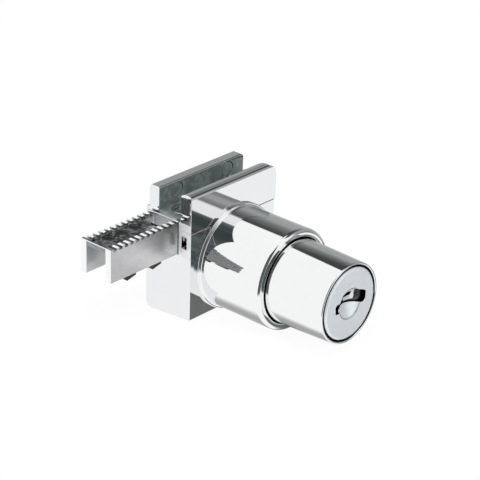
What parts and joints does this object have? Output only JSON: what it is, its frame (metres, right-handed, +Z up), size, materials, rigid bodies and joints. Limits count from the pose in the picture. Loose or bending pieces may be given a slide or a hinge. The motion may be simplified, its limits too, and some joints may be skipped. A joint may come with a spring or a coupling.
{
  "type": "glass cabinet door lock",
  "caption": "Chrome push lock that clamps on a glass door's edge, with a keyed barrel, a comb and a toothed rail that it locks.",
  "frame": {"origin": "middle of the seat that the glass door's edge stands on", "axes": "+Z up, out of the seat towards the glass; +X right along the door's edge, seen from the front; the barrel points to -Y"},
  "size_m": [0.0518, 0.0506, 0.0332],
  "materials": {
    "chrome_block": "bright chrome plate on a casting",
    "chrome_barrel": "bright chrome plate on a turned surface",
    "chrome_rack": "bright plate on folded steel",
    "satin_face": "satin nickel plate",
    "dark_lining": "dark elastomer strip",
    "chrome_button": "bright plate on a pressed button",
    "black_plastic": "moulded black plastic",
    "steel_pin": "ground steel",
    "steel_screw": "zinc plated steel",
    "steel_part": "plain steel",
    "spring_wire": "spring wire",
    "brass": "machined brass"
  },
  "bodies": {
    "block": {"housing": "chrome_block", "front_jaw": "chrome_block", "jaw_pins": "steel_pin", "glass_pad": "dark_lining", "seat_buttons": "chrome_button", "outer_sleeve": "chrome_barrel", "guide_pin": "steel_pin", "rear_cover": "chrome_block", "cover_screws": "steel_screw", "return_spring": "spring_wire"},
    "push": {"push_barrel": "chrome_barrel", "core_shell": "brass", "core_pin": "steel_pin", "bolt_carrier": "steel_part", "carrier_ring": "steel_part", "locking_comb": "steel_part", "comb_screw": "steel_screw", "catch_spring": "spring_wire"},
    "core": {"key_plug": "satin_face", "release_cam": "steel_part", "cam_screw": "steel_screw", "wafer_springs": "spring_wire"},
    "wafer_set": {"wafers": "brass"},
    "catch": {"catch_pin": "steel_part"},
    "rail": {"rack_bar": "chrome_rack", "rack_liner": "black_plastic"},
    "tip_left": {"clamp_tip_left": "steel_pin"},
    "tip_right": {"clamp_tip_right": "steel_pin"},
    "screw_left": {"clamp_screw_left": "steel_screw"},
    "screw_right": {"clamp_screw_right": "steel_screw"}
  },
  "joints": [
    {"name": "push_slide", "type": "slide", "parent": "block", "child": "push", "axis": [0, 1, 0], "range_m": [0, 0.005], "stiffness_N_per_m": 400, "springref_m": -0.01, "deforming": ["return_spring"]},
    {"name": "key_turn", "type": "hinge", "parent": "push", "child": "core", "pos_m": [0.0004, -0.03, -0.0134], "axis": [0, 1, 0], "range_deg": [0, 90]},
    {"name": "catch_slide", "type": "slide", "parent": "push", "child": "catch", "axis": [0, 0, 1], "range_m": [0, 0.0008], "deforming": ["catch_spring"]},
    {"name": "wafer_lift", "type": "slide", "parent": "core", "child": "wafer_set", "axis": [0.9962, 0, 0.0872], "range_m": [0, 0.00045], "deforming": ["wafer_springs"]},
    {"name": "rack_slide", "type": "slide", "parent": "block", "child": "rail", "axis": [1, 0, 0], "range_m": [-0.0054, 0.0036]},
    {"name": "tip_left_slide", "type": "slide", "parent": "block", "child": "tip_left", "axis": [0, -1, 0], "range_m": [0, 0.0007]},
    {"name": "tip_right_slide", "type": "slide", "parent": "block", "child": "tip_right", "axis": [0, -1, 0], "range_m": [0, 0.0007]},
    {"name": "screw_left_turn", "type": "hinge", "parent": "tip_left", "child": "screw_left", "pos_m": [-0.0088, 0.006, 0.0033], "axis": [0, -1, 0], "range_deg": [0, 360]},
    {"name": "screw_right_turn", "type": "hinge", "parent": "tip_right", "child": "screw_right", "pos_m": [0.0088, 0.006, 0.0033], "axis": [0, -1, 0], "range_deg": [0, 360]}
  ],
  "couplings": [
    {"joint": "key_turn", "follows": "catch_slide", "rad_per_m": 1950},
    {"joint": "screw_left_turn", "follows": "tip_left_slide", "rad_per_m": 8960},
    {"joint": "screw_right_turn", "follows": "tip_right_slide", "rad_per_m": 8960}
  ]
}
